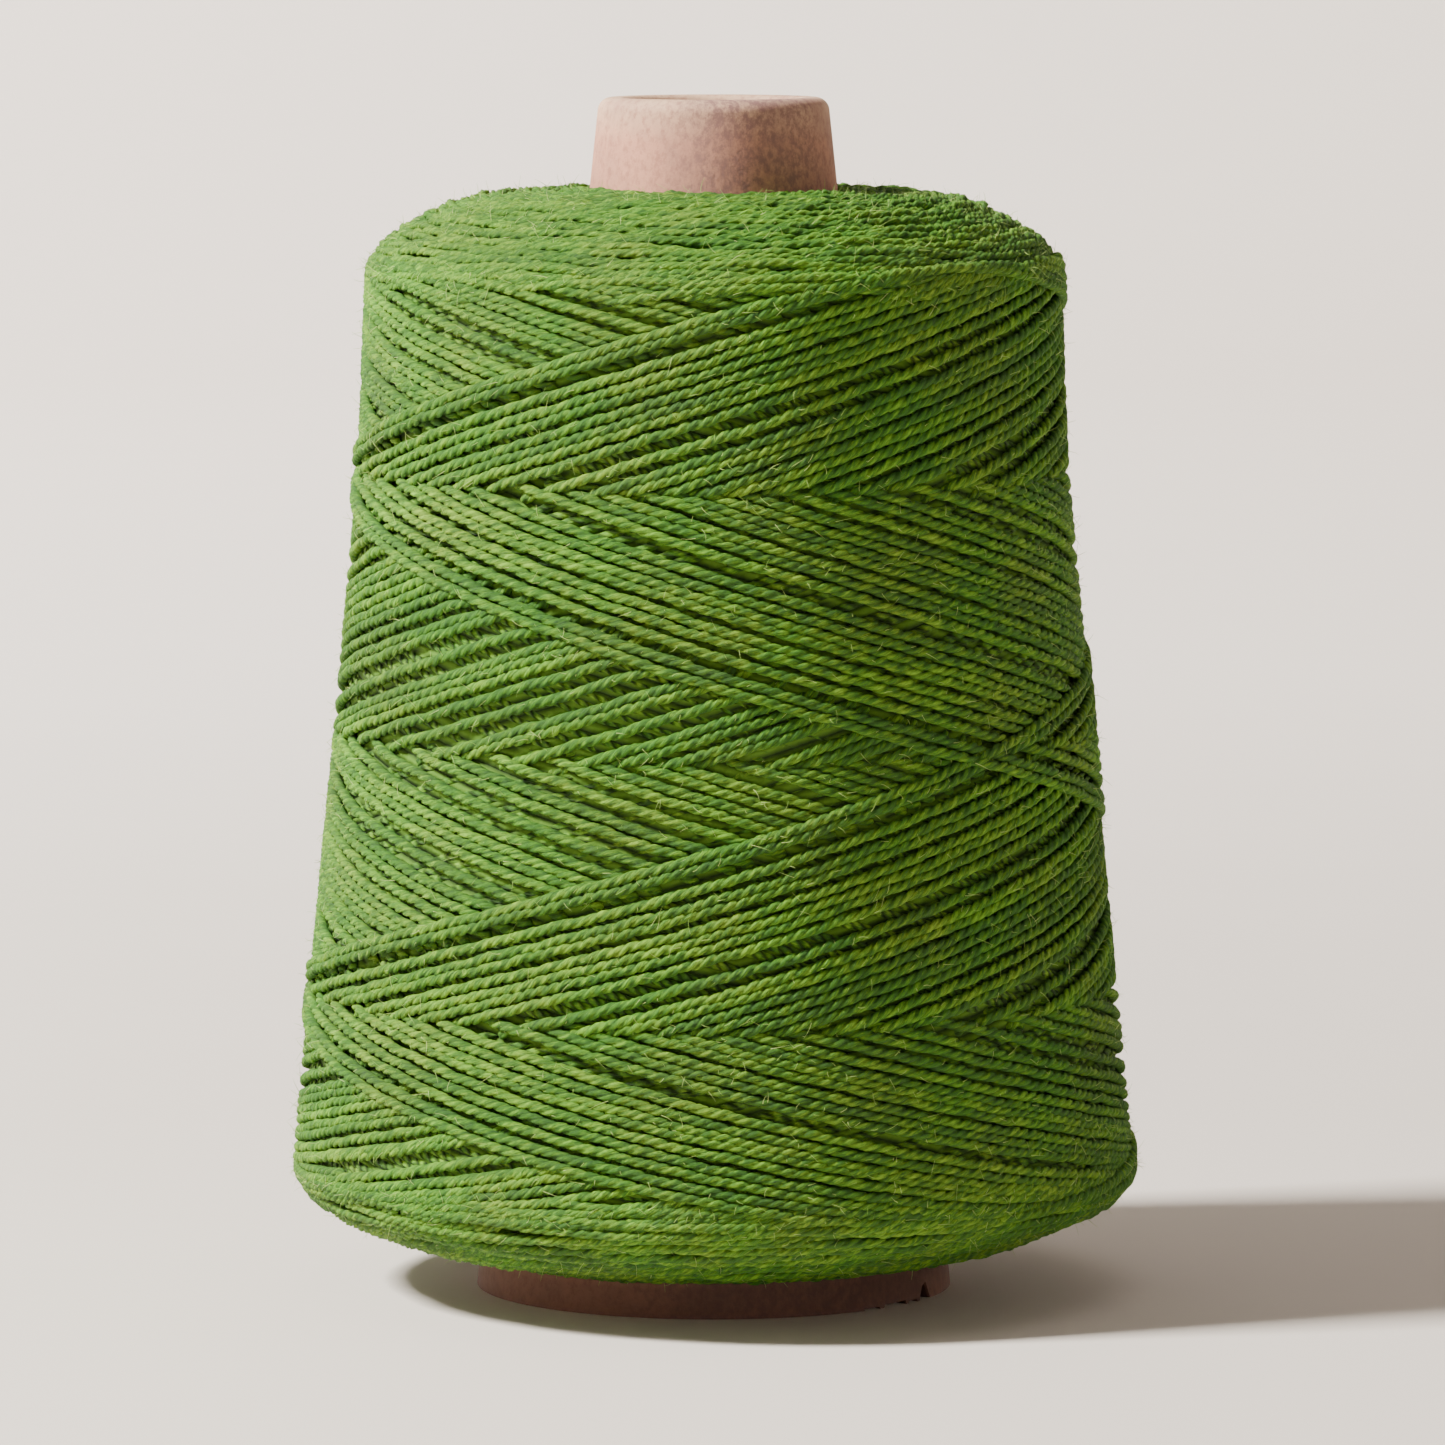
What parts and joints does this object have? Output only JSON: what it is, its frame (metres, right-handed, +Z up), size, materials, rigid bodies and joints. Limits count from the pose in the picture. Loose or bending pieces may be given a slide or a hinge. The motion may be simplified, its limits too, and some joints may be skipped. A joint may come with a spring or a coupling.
{
  "type": "spool of thread",
  "caption": "Thick twisted sewing thread cross-wound on a tapered paper cone that stands on its wide end and drops over a cone holder.",
  "frame": {"origin": "centre of the cone's base rim, at the plane it stands on", "axes": "+Z up along the cone's axis, from the wide base to the narrow nose; +X and +Y are square to it, with the tail nick in the base rim 24 degrees from +X towards -Y"},
  "size_m": [0.1241, 0.1242, 0.175],
  "materials": {
    "liner_paper": "matte",
    "core_paperboard": "matte",
    "cover_paper": "matte",
    "nose_paperboard": "matte",
    "thread_core": "matte",
    "thread_outer": "matte"
  },
  "bodies": {
    "root": {"core_liner": "liner_paper", "core_board": "core_paperboard", "core_cover": "cover_paper", "core_nose": "nose_paperboard", "winding_layer_1": "thread_core", "winding_layer_2": "thread_core", "winding_layer_3": "thread_core", "winding_layer_4": "thread_core", "winding_layer_5": "thread_core", "winding_layer_6": "thread_core", "winding_layer_7": "thread_core", "winding_layer_8": "thread_core", "winding_jacket": "thread_outer"}
  },
  "joints": []
}
